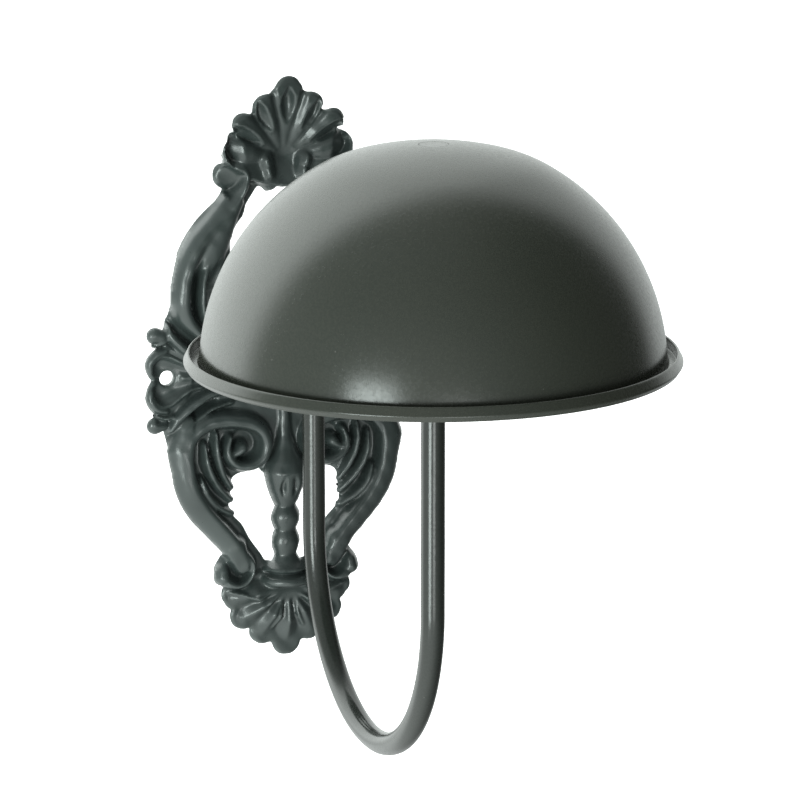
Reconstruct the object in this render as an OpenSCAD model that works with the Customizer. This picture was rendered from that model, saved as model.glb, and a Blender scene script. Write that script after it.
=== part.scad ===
// Wall-mounted iron bell: a cast scrollwork wall plate, a bent rod arm and a spun steel dome.
// Origin: back of the wall plate, midway between its two screw holes.
// +X right, +Z up, the arm reaches out along -Y.

/* [Wall plate] */
// Distance between the two wall screw holes
hole_spacing = 87; // [84:0.5:90]
// Diameter of a wall screw hole
hole_d = 5.5; // [4:0.1:6]
// Thickness of the flat web of the casting
web_t = 4; // [3:0.5:5]
// Height of the scroll ridges above the wall
ridge_t = 7; // [6:0.5:9]
// Height of the hub of the top shell above the screw holes
crest_z = 77; // [75:0.5:79]
// Height of the hub of the bottom shell, below the screw holes
foot_z = -79; // [-81:0.5:-77]
// Reach of the shell petals from their hub
petal_reach = 25.5; // [24:0.5:27]
// Height of the top shell's petals above the wall
petal_t = 9.5; // [8:0.5:10]
// Diameter of the boss that the arm is bolted through
boss_d = 26; // [24:1:30]
// Height of that boss above the wall
boss_t = 14; // [13:0.5:16]

/* [Arm] */
// Diameter of the round bar
rod_d = 8; // [7:0.1:9]
// Height of the arm's threaded end above the screw holes
arm_z = 12; // [10:1:16]
// Distance of the near leg from the wall
standoff = 36; // [35:0.5:40]
// Distance of the dome's axis and the far leg from the wall
reach = 156.5; // [140:0.5:170]
// Lowest point of the loop's centre line
loop_low = -109.5; // [-120:0.5:-100]
// Bend radius at the wall, to the centre line
wall_bend_r = 13; // [11:0.5:13]

/* [Dome] */
// Outer radius of the spun dome at its sides
dome_r = 76; // [70:0.5:80]
// Outer radius of its flatter crown
crown_r = 100; // [90:1:110]
// Height of the top of the dome above the screw holes
crown_top = 107.7; // [106:0.1:109]
// Sheet thickness
sheet_t = 1.2; // [1:0.1:1.5]
// Height of the centre of the dome's sphere above the screw holes
dome_z = 33.5; // [25:0.5:40]
// Outer radius of the rim
rim_r = 81; // [79:0.5:85]
// Radial thickness of the rim's lip
rim_w = 2.1; // [1.8:0.1:2.6]
// Height of the rim's lip
rim_h = 4.7; // [4:0.1:6]

/* [Fasteners] */
// Across-flats size of the arm nuts
nut_af = 13; // [12:0.5:14]
// Thickness of the arm nuts
nut_t = 6.5; // [5:0.1:6.5]
// Outer diameter of the arm washers
washer_d = 16; // [14:0.5:17]
// Thickness of the washers
washer_t = 1.6; // [1:0.1:1.6]
// Diameter of the crown screw
screw_d = 5; // [4:0.5:5]
// Diameter of the crown screw's flush head
head_d = 9.6; // [9:0.1:10]

/* [Hidden] */
$fn = 96;

cast_iron = [0.20, 0.22, 0.22];
black_paint = [0.24, 0.26, 0.24];
plated = [0.55, 0.56, 0.55];

run_gap = 0.05;                  // radial clearance of a running or threaded fit
face_gap = 0.3;                  // gap between faces that turn past each other
cut = 1;                         // how far a cutting shape runs past a face

loop_r = (reach - standoff) / 2; // centre-line radius of the U loop
loop_y = (reach + standoff) / 2; // distance of the loop's centre from the wall
loop_z = loop_low + loop_r;      // height of the loop's centre
recess_d = washer_d + 3;         // counterbore behind the boss
recess_t = washer_t + nut_t + 0.9;
rod_back = recess_t - washer_t - nut_t + 0.2;

dome_in = dome_r - sheet_t;
rim_low = 1.9;                   // underside of the rim above the sphere's centre
lip_top_w = 0.8;                 // flat on top of the lip
lip_foot_h = 1.6;                // upright part at the foot of the lip's outer face
lip_foot_cut = 0.6;              // chamfer under it
crown_c = crown_top - crown_r;   // centre of the crown's sphere
boss_h = 6;                      // crown boss, from its flat foot to the sheet at the axis
crown_boss_d = 18;
crown_foot = crown_top - sheet_t - boss_h;
thrust_t = 1;
rod_top = crown_foot - thrust_t - face_gap;
head_drop = 0.15;                // head lies this far below the top of the dome
head_h = (head_d - screw_d) / 2;
screw_len = 20;
tap_depth = 16;

column_y = 5;                    // distance of the baluster's axis from the wall

// ---- shapes in the plane of the wall, x to the right and y up ----

module both_sides() {
    children();
    mirror([1, 0]) children();
}

module disc(x, z, r) {
    translate([x, z]) circle(r);
}

end_share = 0.45;                // radius of a band's round ends, as a share of its width

// Part of a ring of mid radius r and width w, from angle a0 to a1
module arc_band(x, z, r, w, a0, a1) {
    step = (a1 - a0) / 6;
    far = 2 * (r + w);
    translate([x, z]) {
        intersection() {
            difference() {
                circle(r + w / 2);
                circle(r - w / 2);
            }
            polygon(concat([[0, 0]], [for (i = [0:6]) far * [cos(a0 + i * step), sin(a0 + i * step)]]));
        }
        for (a = [a0, a1]) translate(r * [cos(a), sin(a)]) circle(w * end_share);
    }
}

petals = [-78, -52, -26, 0, 26, 52, 78];
petal_r = 5.6;
tip_extra = 4;                   // the middle petal is longer by this much
rib_w = 3.2;
rib_from = 10;                   // distance from the hub where a petal's rib starts

// Seven round petals fanned about the direction dir
module shell_2d(z, dir) {
    disc(0, z, petal_reach - petal_r);
    for (a = petals) {
        out = petal_reach - petal_r + (a == 0 ? tip_extra : 0);
        translate([0, z]) rotate(dir + a) translate([out, 0]) circle(petal_r);
    }
}

// One raised rib on each petal, with a round end
module shell_ribs_2d(z, dir) {
    for (a = petals) translate([0, z]) rotate(dir + a) {
        translate([rib_from, -rib_w / 2]) square([petal_reach - petal_r - rib_from + 1, rib_w]);
        translate([petal_reach - petal_r + 1, 0]) circle(knob_r + 0.4);
    }
}

arm_x = 9;                       // upper scroll arms: centre and outer radius
arm_c = 30;
arm_r = 34;
arch_r = 18.5;                   // opening between the upper arms, and the slot above it
arch_z = 45;
arch_top = 68;
arch_w = 14;
scroll_x = 4;                    // lower C-scrolls: centre and outer radius
scroll_c = -33;
scroll_r = 38;
gap_r = 22;                      // opening between a C-scroll and the baluster
volute_x = 15;                   // volute at the inner end of each C-scroll
volute_z = -24.5;
eye_r = 3;
knob_r = 2.6;

// Round lobes of the outline on one side: x, z and radius
lobes = [
    [20.3, 72.5, 6.2],           // curl under the top shell
    [17.5, 64.5, 7],             // neck of that curl
    [23, -73, 5],                // curl above the bottom shell
    [17, -68, 7],                // neck of that curl
    [48.2, 15.6, 3.8],           // upper knob of the side leaf
    [45.5, 6, 6.4],              // lobe above the screw hole
    [45.5, -6, 6.4],             // lobe below the screw hole
    [48.4, -16.8, 3.6]           // lower knob of the side leaf
];

// Scroll ridges on one side, as arcs: x, z, mid radius, width, start angle and end angle
ridges = [
    [arm_x, arm_c, arm_r - 3.5, 5, -8, 78],
    [arm_x, arm_c, arm_r - 11, 3.5, -14, 40],
    [20, 72, 4, 4, -60, 200],
    [scroll_x, scroll_c, scroll_r - 4, 6, -62, 30],
    [scroll_x, scroll_c, scroll_r - 11, 3, -25, 18],
    [scroll_x, scroll_c, scroll_r - 16, 3, -18, 22],
    [volute_x, volute_z, 8, 5, -110, 180],
    [22.5, -72.5, 3, 3, -150, 100],
    [44.5, 6, 4.6, 3, -40, 160],
    [44.5, -6, 4.6, 3, -160, 40],
    [15, 14, 7, 4, -120, 150]
];

module web_2d() {
    difference() {
        union() {
            shell_2d(crest_z, 90);
            shell_2d(foot_z, -90);
            both_sides() {
                disc(arm_x, arm_c, arm_r);
                disc(scroll_x, scroll_c, scroll_r);
                for (l = lobes) disc(l[0], l[1], l[2]);
                translate([30, -20]) square([15.5, 38]);
            }
        }
        disc(0, arch_z, arch_r);
        translate([-arch_w / 2, arch_z]) square([arch_w, arch_top - arch_z]);
        both_sides() {
            disc(10.5, 60.5, 3.5);
            intersection() {
                disc(-2, -46, gap_r);
                translate([5.5, -68]) square([30, 30]);
            }
        }
    }
}

module ridge_2d() {
    both_sides() {
        for (r = ridges) arc_band(r[0], r[1], r[2], r[3], r[4], r[5]);
        disc(volute_x + 1, volute_z, eye_r);
        disc(lobes[4][0], lobes[4][1], knob_r);
        disc(lobes[7][0], lobes[7][1], knob_r);
    }
    shell_ribs_2d(foot_z, -90);
}

// Raises a shape of the wall plane from the wall to height h
module raised(h) {
    rotate([90, 0, 0]) linear_extrude(h) children();
}

module turned(z0, z1, r0, r1) {
    translate([0, -column_y, z0]) cylinder(h = z1 - z0, r1 = r0, r2 = r1);
}

module bead(z, r) {
    translate([0, -column_y, z]) sphere(r);
}

// Turned stretches of the baluster: low end, high end, and the radius at each
turnings = [
    [-40, -14, 7.4, 2.2],        // neck
    [-49, -40, 3.6, 7.4],        // shoulder
    [-75, -66, 8.8, 3.6],        // bell-shaped foot
    [-78.5, -76, 8.8, 8.8],      // ring under it
    [-76.1, -74.9, 6.5, 6.5]
];

// Turned baluster between the C-scrolls, cut flat at the wall
module column() {
    intersection() {
        union() {
            for (t = turnings) turned(t[0], t[1], t[2], t[3]);
            bead(-53.5, 5.7);
            bead(-64, 5.2);
        }
        translate([-20, -40, -90]) cube([40, 40, 90]);
    }
}

module wall_plate() {
    color(cast_iron) difference() {
        union() {
            raised(web_t) web_2d();
            raised(ridge_t) ridge_2d();
            raised(petal_t) shell_ribs_2d(crest_z, 90);
            column();
            raised(boss_t) disc(0, arm_z, boss_d / 2);
        }
        for (side = [-1, 1]) translate([side * hole_spacing / 2, cut, 0])
            rotate([90, 0, 0]) cylinder(h = ridge_t + 2 * cut, d = hole_d);
        translate([0, cut, arm_z]) rotate([90, 0, 0]) cylinder(h = boss_t + 2 * cut, d = rod_d + 2 * run_gap);
        translate([0, cut, arm_z]) rotate([90, 0, 0]) cylinder(h = recess_t + cut, d = recess_d);
    }
}

module rod_arm() {
    straight = standoff - wall_bend_r - rod_back;
    color(black_paint) difference() {
        union() {
            translate([0, -rod_back, arm_z]) rotate([90, 0, 0]) cylinder(h = straight, d = rod_d);
            translate([0, wall_bend_r - standoff, arm_z - wall_bend_r]) rotate([90, 0, -90])
                rotate_extrude(angle = 90) translate([wall_bend_r, 0]) circle(d = rod_d);
            translate([0, -standoff, loop_z]) cylinder(h = arm_z - wall_bend_r - loop_z, d = rod_d);
            translate([0, -loop_y, loop_z]) rotate([90, 0, -90]) rotate([0, 0, 180])
                rotate_extrude(angle = 180) translate([loop_r, 0]) circle(d = rod_d);
            translate([0, -reach, loop_z]) cylinder(h = rod_top - loop_z, d = rod_d);
        }
        translate([0, -reach, rod_top - tap_depth])
            cylinder(h = tap_depth + cut, d = screw_d + 2 * run_gap);
    }
}

module arm_nut() {
    difference() {
        cylinder(h = nut_t, d = nut_af / cos(30), $fn = 6);
        translate([0, 0, -cut]) cylinder(h = nut_t + 2 * cut, d = rod_d + 2 * run_gap);
    }
}

module ring(h, d, bore) {
    difference() {
        cylinder(h = h, d = d);
        translate([0, 0, -cut]) cylinder(h = h + 2 * cut, d = bore);
    }
}

// Places a fastener on the arm's threaded end, its foot at distance y from the wall
module on_arm(y) {
    translate([0, -y, arm_z]) rotate([90, 0, 0]) children();
}

module arm_front_nut() {
    color(plated) on_arm(boss_t + washer_t) arm_nut();
}

module arm_front_washer() {
    color(plated) on_arm(boss_t) ring(washer_t, washer_d, rod_d + 2 * run_gap);
}

module arm_rear_washer() {
    color(plated) on_arm(recess_t - washer_t) ring(washer_t, washer_d, rod_d + 2 * run_gap);
}

module arm_rear_nut() {
    color(plated) on_arm(recess_t - washer_t - nut_t) arm_nut();
}

// Countersink for the crown screw, with its wide end at the top of the dome
module countersink() {
    grow = face_gap / 2;
    translate([0, 0, crown_top - head_drop - head_h]) {
        cylinder(h = head_h, d1 = screw_d + 2 * grow, d2 = head_d + 2 * grow);
        translate([0, 0, head_h]) cylinder(h = cut, d = head_d + 2 * grow);
    }
}

// Half outline of the domed sheet, grown inwards by shrink
module dome_2d(shrink) {
    intersection() {
        circle(dome_r - shrink);
        translate([0, crown_c - dome_z]) circle(crown_r - shrink);
        translate([0, rim_low]) square([dome_r + cut, dome_r + cut]);
    }
}

// Lip of the rim: upright inside, sloping outside, with a short upright foot
module lip_2d() {
    lip_in = rim_r - rim_w;
    polygon([
        [lip_in, rim_low],
        [rim_r - lip_foot_cut, rim_low],
        [rim_r, rim_low + lip_foot_cut],
        [rim_r, rim_low + lip_foot_h],
        [lip_in + lip_top_w, rim_low + rim_h],
        [lip_in, rim_low + rim_h]
    ]);
}

module dome_shell() {
    color(black_paint) translate([0, -reach, 0]) difference() {
        translate([0, 0, dome_z]) rotate_extrude() {
            difference() {
                dome_2d(0);
                dome_2d(sheet_t);
            }
            translate([dome_in - 0.3, rim_low]) square([rim_r - rim_w - dome_in + 0.6, sheet_t]);
            lip_2d();
        }
        countersink();
    }
}

module crown_boss() {
    color(plated) translate([0, -reach, 0]) difference() {
        intersection() {
            translate([0, 0, crown_foot]) cylinder(h = boss_h + cut, d = crown_boss_d);
            translate([0, 0, crown_c]) sphere(crown_r - sheet_t);
        }
        translate([0, 0, crown_foot - cut]) cylinder(h = boss_h + 3 * cut, d = screw_d + 2 * run_gap);
        countersink();
    }
}

module crown_washer() {
    color(plated) translate([0, -reach, rod_top]) ring(thrust_t, 14, screw_d + 2 * run_gap);
}

module crown_screw() {
    head_top = crown_top - head_drop;
    color(black_paint) translate([0, -reach, 0]) {
        translate([0, 0, head_top - head_h]) cylinder(h = head_h, d1 = screw_d, d2 = head_d);
        translate([0, 0, head_top - screw_len]) cylinder(h = screw_len - head_h, d = screw_d);
    }
}

wall_plate();
rod_arm();
arm_front_nut();
arm_front_washer();
arm_rear_washer();
arm_rear_nut();
dome_shell();
crown_boss();
crown_washer();
crown_screw();
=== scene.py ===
# Looks of a wall-mounted iron dome bell: scrollwork casting, bent rod arm and spun dome.
# Metres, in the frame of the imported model. Shapes are worked out in millimetres and scaled once.
import math

import bmesh
import bpy
import numpy as np
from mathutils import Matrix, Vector


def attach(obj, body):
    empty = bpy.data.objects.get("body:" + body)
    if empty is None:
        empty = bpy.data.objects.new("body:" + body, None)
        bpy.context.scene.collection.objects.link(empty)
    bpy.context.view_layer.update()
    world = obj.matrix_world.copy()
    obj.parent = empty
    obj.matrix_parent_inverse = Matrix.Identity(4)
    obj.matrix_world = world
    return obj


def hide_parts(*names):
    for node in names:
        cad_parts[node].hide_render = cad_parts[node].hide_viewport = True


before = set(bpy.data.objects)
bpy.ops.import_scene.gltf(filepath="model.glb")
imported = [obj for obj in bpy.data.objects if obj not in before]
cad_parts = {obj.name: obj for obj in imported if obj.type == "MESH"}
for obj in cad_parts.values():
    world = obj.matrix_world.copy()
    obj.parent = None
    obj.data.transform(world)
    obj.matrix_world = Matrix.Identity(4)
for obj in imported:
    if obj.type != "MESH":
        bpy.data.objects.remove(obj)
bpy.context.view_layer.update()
MM = 0.001
scene = bpy.context.scene


# ---------------------------------------------------------------- materials

def set_range(node, low, high, out_low, out_high):
    """Sets the four ends of a Map Range node."""
    ends = {"From Min": low, "From Max": high, "To Min": out_low, "To Max": out_high}
    for key, value in ends.items():
        node.inputs[key].default_value = value


def math_node(nodes, links, operation, a, b):
    """A Math node of two values, each a number or another node's output."""
    node = nodes.new("ShaderNodeMath")
    node.operation = operation
    for socket, value in zip(node.inputs, (a, b)):
        if isinstance(value, (int, float)):
            socket.default_value = value
        else:
            links.new(value, socket)
    return node.outputs["Value"]


class Tree:
    """Short-hand for building a node material."""

    def __init__(self, name):
        self.material = bpy.data.materials.new(name)
        self.material.use_nodes = True
        self.nodes = self.material.node_tree.nodes
        self.links = self.material.node_tree.links
        self.shader = self.nodes["Principled BSDF"]
        self.coords = self.nodes.new("ShaderNodeTexCoord").outputs["Object"]

    def set(self, **values):
        for key, value in values.items():
            self.shader.inputs[key.replace("_", " ")].default_value = value

    def noise(self, scale, detail, rough=0.55, stretch=None):
        node = self.nodes.new("ShaderNodeTexNoise")
        node.inputs["Scale"].default_value = scale
        node.inputs["Detail"].default_value = detail
        node.inputs["Roughness"].default_value = rough
        source = self.coords
        if stretch:
            mapping = self.nodes.new("ShaderNodeMapping")
            mapping.inputs["Scale"].default_value = stretch
            self.links.new(self.coords, mapping.inputs["Vector"])
            source = mapping.outputs["Vector"]
        self.links.new(source, node.inputs["Vector"])
        return node.outputs["Fac"]

    def cells(self, scale):
        """Distance from the middle of the nearest cell."""
        node = self.nodes.new("ShaderNodeTexVoronoi")
        node.inputs["Scale"].default_value = scale
        self.links.new(self.coords, node.inputs["Vector"])
        return node.outputs["Distance"]

    def ramp(self, source, low, high, out_low=0.0, out_high=1.0):
        node = self.nodes.new("ShaderNodeMapRange")
        set_range(node, low, high, out_low, out_high)
        self.links.new(source, node.inputs["Value"])
        return node.outputs["Result"]

    def math(self, operation, a, b):
        return math_node(self.nodes, self.links, operation, a, b)

    def mix(self, factor, a, b):
        node = self.nodes.new("ShaderNodeMix")
        node.data_type = "RGBA"
        self.links.new(factor, node.inputs["Factor"])
        for socket, value in ((node.inputs["A"], a), (node.inputs["B"], b)):
            if isinstance(value, tuple):
                socket.default_value = (*value, 1.0)
            else:
                self.links.new(value, socket)
        return node.outputs["Result"]

    def edges(self, low, high):
        """A mask that is 1 on outer edges, or in hollows where high is below low, and 0 elsewhere."""
        node = self.nodes.new("ShaderNodeNewGeometry")
        return self.ramp(node.outputs["Pointiness"], low, high)

    def bump(self, layers):
        """Stacks bumps, given as (height, distance in metres, strength)."""
        normal = None
        for height, distance, strength in layers:
            node = self.nodes.new("ShaderNodeBump")
            node.inputs["Distance"].default_value = distance
            node.inputs["Strength"].default_value = strength
            self.links.new(height, node.inputs["Height"])
            if normal:
                self.links.new(normal, node.inputs["Normal"])
            normal = node.outputs["Normal"]
        self.links.new(normal, self.shader.inputs["Normal"])

    def wire(self, colour, roughness):
        self.links.new(colour, self.shader.inputs["Base Color"])
        self.links.new(roughness, self.shader.inputs["Roughness"])
        return self.material


CAST_DARK = (0.036, 0.047, 0.045)
CAST_LIGHT = (0.052, 0.066, 0.063)
# paler colour painted onto the sharp ridges as a highlight
CAST_RIDGE_HIGHLIGHT = (0.115, 0.135, 0.13)
# darker colour painted into the hollows as shade
CAST_HOLLOW_SHADE = (0.022, 0.028, 0.027)
SPECK = (0.10, 0.10, 0.09)


def cast_paint():
    """Satin blue-black paint over a sand casting: fine grain, painted shade that darkens the hollows and
    a painted highlight that lightens the sharp ridges.
    """
    tree = Tree("cast_plate_paint")
    clouds = tree.noise(55, 3)
    grain = tree.noise(1500, 2, 0.6)
    sand = tree.noise(420, 4, 0.6)
    base = tree.mix(tree.ramp(clouds, 0.35, 0.68), CAST_DARK, CAST_LIGHT)
    # painted highlight: the sharp ridges, broken up by the sand grain, are lightened towards a paler
    # colour
    edge = tree.math("MULTIPLY", tree.edges(0.515, 0.60), tree.ramp(sand, 0.35, 0.6, 0.25, 1.0))
    base = tree.mix(edge, base, CAST_RIDGE_HIGHLIGHT)
    # painted shade: the hollows and creases are darkened
    hollow = tree.edges(0.49, 0.42)
    base = tree.mix(tree.math("MULTIPLY", hollow, 0.5), base, CAST_HOLLOW_SHADE)
    rough = tree.ramp(sand, 0.3, 0.7, 0.27, 0.40)
    tree.bump([(clouds, 0.0012, 0.12), (sand, 0.0002, 0.16), (grain, 0.00008, 0.12)])
    tree.set(Specular_IOR_Level=0.5, Coat_Weight=0.35, Coat_Roughness=0.2)
    return tree.wire(base, rough)


def baked_paint(name, dark, light, smooth, rough):
    """Baked satin paint: orange peel, fine mottling, tiny trapped specks and a slight drift in tone.
    smooth and rough are the two ends of its roughness."""
    tree = Tree(name)
    drift = tree.noise(9, 2)
    peel = tree.noise(900, 3, 0.6)
    fine = tree.noise(2600, 2, 0.5)
    base = tree.mix(tree.ramp(drift, 0.35, 0.65), dark, light)
    speck = tree.ramp(tree.cells(260), 0.075, 0.05)
    chosen = tree.ramp(tree.noise(70, 1), 0.60, 0.66)
    speck = tree.math("MULTIPLY", speck, chosen)
    base = tree.mix(tree.math("MULTIPLY", speck, 0.6), base, SPECK)
    mottle = tree.ramp(tree.noise(1400, 2, 0.5), 0.40, 0.62)
    base = tree.mix(tree.math("MULTIPLY", mottle, 0.3), base, tuple(1.3 * v for v in light))
    patchy = tree.ramp(drift, 0.3, 0.7, smooth, rough)
    final = tree.math("ADD", patchy, tree.ramp(peel, 0.35, 0.65, -0.04, 0.05))
    tree.bump([(peel, 0.00010, 0.22), (fine, 0.00004, 0.16), (speck, 0.00010, 0.5)])
    tree.set(Specular_IOR_Level=0.5, Coat_Weight=0.15, Coat_Roughness=0.22)
    return tree.wire(base, final)


def bare_metal(name, dull, bright, rings=False):
    """Turned or zinc-plated steel with fine tool marks, dulled in patches."""
    tree = Tree(name)
    patches = tree.noise(160, 4)
    stretch = (1, 1, 14) if rings else (14, 1, 1)
    marks = tree.noise(700, 3, 0.6, stretch)
    base = tree.mix(tree.ramp(patches, 0.35, 0.65), dull, bright)
    edge = tree.edges(0.52, 0.60)
    worn = tuple(min(1.0, 1.35 * v) for v in bright)
    base = tree.mix(tree.math("MULTIPLY", edge, 0.6), base, worn)
    patchy = tree.ramp(patches, 0.3, 0.7, 0.30, 0.48)
    rough = tree.math("ADD", patchy, tree.ramp(marks, 0.3, 0.7, -0.05, 0.06))
    tree.bump([(marks, 0.00006, 0.25), (patches, 0.0002, 0.1)])
    tree.set(Metallic=1.0)
    return tree.wire(base, rough)


CAST = cast_paint()
DOME = baked_paint("dome_baked_paint", (0.028, 0.033, 0.026), (0.037, 0.040, 0.031), 0.22, 0.29)
ARM = baked_paint("arm_baked_paint", (0.020, 0.024, 0.021), (0.028, 0.032, 0.028), 0.17, 0.24)
ZINC = bare_metal("zinc_plate", (0.30, 0.30, 0.29), (0.46, 0.46, 0.44))
TURNED = bare_metal("turned_steel", (0.32, 0.31, 0.30), (0.48, 0.47, 0.45), rings=True)

CAD_FINISH = {
    "arm_front_nut": ZINC,
    "arm_rear_nut": ZINC,
    "arm_front_washer": ZINC,
    "arm_rear_washer": ZINC,
    "crown_washer": ZINC,
    "crown_boss": TURNED,
    "crown_screw": DOME,
}
for node_name, finish in CAD_FINISH.items():
    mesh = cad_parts[node_name].data
    mesh.materials.clear()
    mesh.materials.append(finish)


# ---------------------------------------------------------------- mesh helpers

def add_piece(name, points, faces, material, body, node, sharp):
    """Makes a mesh object from points in millimetres and puts it in place of a CAD node.
    Edges that turn by sharp degrees or more are shaded sharp."""
    mesh = bpy.data.meshes.new(name)
    mesh.from_pydata((np.asarray(points) * MM).tolist(), [], faces)
    mesh.validate()
    bm = bmesh.new()
    bm.from_mesh(mesh)
    bmesh.ops.recalc_face_normals(bm, faces=bm.faces)
    for edge in bm.edges:
        edge.smooth = len(edge.link_faces) != 2 or edge.calc_face_angle(0) < math.radians(sharp)
    for face in bm.faces:
        face.smooth = True
    bm.to_mesh(mesh)
    bm.free()
    mesh.materials.append(material)
    piece = bpy.data.objects.new(name, mesh)
    scene.collection.objects.link(piece)
    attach(piece, body)
    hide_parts(node)


def arc(centre, radius, start, end, count):
    """Points of an arc in the profile plane, angles in degrees."""
    angles = np.radians(np.linspace(start, end, count))
    return np.stack([
        centre[0] + radius * np.cos(angles),
        centre[1] + radius * np.sin(angles),
    ], axis=1)


def line(a, b, count):
    return np.linspace(a, b, count)


# ---------------------------------------------------------------- dome

REACH = 156.5          # axis of the dome, in front of the wall
DOME_Z = 33.5          # height of the sphere's centre
DOME_R = 76.0
CROWN_R = 100.0        # flatter crown
CROWN_TOP = 107.69 - DOME_Z
CROWN_BLEND = 0.7      # how softly the round sides pass into the crown
SHEET = 1.2
FILLET = 0.7           # between the wall and the floor of the gutter
RIM_R = 81.0
RIM_W = 2.1
RIM_LOW = 1.9
RIM_H = 4.7
HEAD_R = 4.95          # countersink for the crown screw, at the surface
SHANK_R = 2.65
HEAD_DEPTH = 2.3
DOME_STEPS = 384
DOME_WOBBLE = 0.0006   # how far the spun sheet is out of round, as a share of its radius


def dome_curve(shrink, start, end, count):
    """The wall's outline from one angle above the horizon to another: round sides, flatter crown."""
    angles = np.radians(np.linspace(start, end, count))
    side = np.full(count, DOME_R - shrink)
    low = CROWN_R - CROWN_TOP
    crown = -low * np.sin(angles) + np.sqrt((CROWN_R - shrink) ** 2 - (low * np.cos(angles)) ** 2)
    h = np.clip(0.5 + 0.5 * (side - crown) / CROWN_BLEND, 0, 1)
    radius = side * (1 - h) + crown * h - CROWN_BLEND * h * (1 - h)
    return np.stack([radius * np.cos(angles), radius * np.sin(angles)], axis=1)


def dome_profile():
    """Closed outline of the dome's wall, as radius and height above the sphere's centre."""
    inner = DOME_R - SHEET
    gutter_z = RIM_LOW + SHEET
    lip_in = RIM_R - RIM_W
    top = RIM_LOW + RIM_H
    # the fillet touches both the wall and the gutter's floor
    fillet_z = gutter_z + FILLET
    fillet_r = math.sqrt((DOME_R + FILLET) ** 2 - fillet_z ** 2)
    touch = math.degrees(math.atan2(fillet_z, fillet_r))
    low_inner = math.degrees(math.asin((RIM_LOW + 0.6) / inner))
    top_out = math.degrees(math.atan2(CROWN_TOP, HEAD_R))
    top_in = math.degrees(math.atan2(CROWN_TOP - SHEET, SHANK_R))
    outside = dome_curve(0, top_out, touch, 110)
    inside = dome_curve(SHEET, low_inner, top_in, 90)
    neck = (SHANK_R, CROWN_TOP - 0.15 - HEAD_DEPTH)
    return np.concatenate([
        outside,
        # gutter
        arc((fillet_r, fillet_z), FILLET, 180 + touch, 270, 6)[1:],
        line((fillet_r + 0.3, gutter_z), (lip_in - 0.35, gutter_z), 3),
        arc((lip_in - 0.3, gutter_z + 0.3), 0.3, 270, 360, 4)[1:],
        line((lip_in, gutter_z + 0.6), (lip_in, top - 0.45), 3),
        # rim: rounded top, sloping outer face and a crease above its lower edge
        arc((lip_in + 0.4, top - 0.4), 0.4, 180, 60, 6)[1:],
        line((lip_in + 0.78, top - 0.22), (RIM_R - 0.16, RIM_LOW + 2.3), 5),
        arc((RIM_R - 0.8, RIM_LOW + 1.8), 0.8, 27, -40, 9),
        line((RIM_R - 0.24, RIM_LOW + 1.2), (RIM_R - 0.95, RIM_LOW + 0.3), 4),
        arc((RIM_R - 1.2, RIM_LOW + 0.4), 0.4, -45, -90, 4)[1:],
        # underside, inner wall and the countersink at the crown
        line((RIM_R - 1.7, RIM_LOW), (inner + 0.6, RIM_LOW), 6),
        inside,
        line((SHANK_R, inside[-1, 1] - 0.05), neck, 2)[1:],
        line(neck, (HEAD_R, outside[0, 1] - 0.1), 4)[1:],
    ])


def spin(profile, count, wobble):
    """Turns a closed profile about the upright axis through the dome."""
    turn = np.linspace(0, 2 * math.pi, count, endpoint=False)
    radius, height = profile[:, 0][:, None], profile[:, 1][:, None]
    ripple = 1 - wobble * (1.8 + np.sin(3 * turn + 0.7) + 0.5 * np.sin(5 * turn + 2.1)) / 2.5
    x = radius * ripple * np.sin(turn)
    y = -REACH + radius * ripple * np.cos(turn)
    z = DOME_Z + height + 0 * turn
    points = np.stack([x, y, z], axis=2).reshape(-1, 3)
    rows = len(profile)
    faces = []
    for i in range(rows):
        j = (i + 1) % rows
        for k in range(count):
            m = (k + 1) % count
            faces.append((i * count + k, j * count + k, j * count + m, i * count + m))
    return points, faces


dome_points, dome_faces = spin(dome_profile(), DOME_STEPS, DOME_WOBBLE)
add_piece("spun_dome", dome_points, dome_faces, DOME, "dome", "dome_shell", 60)


# ---------------------------------------------------------------- rod arm

ROD_R = 4.0
ARM_Z = 12.0
STANDOFF = 36.0
BEND_R = 13.0
LOOP_LOW = -109.5
ROD_BACK = 1.1
ROD_TOP = 99.2
TAP_R = 2.55
TAP_DEPTH = 16.0
THREAD_TO = 23.0       # the thread runs from the wall end to here
PITCH = 1.25
THREAD_DEPTH = 0.55
ROD_SIDES = 64
WALL_END = ((0.01, 0.0), (1.6, 0.0), (2.6, 0.0), (3.0, 0.15))  # radius, distance in from the end
CROWN_END = (                                                 # radius, distance past the path's end
    (3.9, 0.3), (3.55, 0.65), (3.2, 0.8), (TAP_R + 0.3, 0.8), (TAP_R, 0.5),
    (TAP_R, -TAP_DEPTH + 0.8), (0.01, -TAP_DEPTH),
)
LOOP_R = (REACH - STANDOFF) / 2
LOOP_Z = LOOP_LOW + LOOP_R


def rod_path():
    """Centre line from the wall end to the crown, as points in the Y-Z plane."""
    bend = (-(STANDOFF - BEND_R), ARM_Z - BEND_R)
    mid = -(REACH + STANDOFF) / 2
    return np.concatenate([
        line((-ROD_BACK, ARM_Z), (bend[0], ARM_Z), 180),
        arc(bend, BEND_R, 90, 180, 28)[1:],
        line((-STANDOFF, ARM_Z - BEND_R), (-STANDOFF, LOOP_Z), 24)[1:],
        arc((mid, LOOP_Z), LOOP_R, 0, -180, 150)[1:],
        line((-REACH, LOOP_Z), (-REACH, ROD_TOP - 0.8), 60)[1:],
    ])


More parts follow.
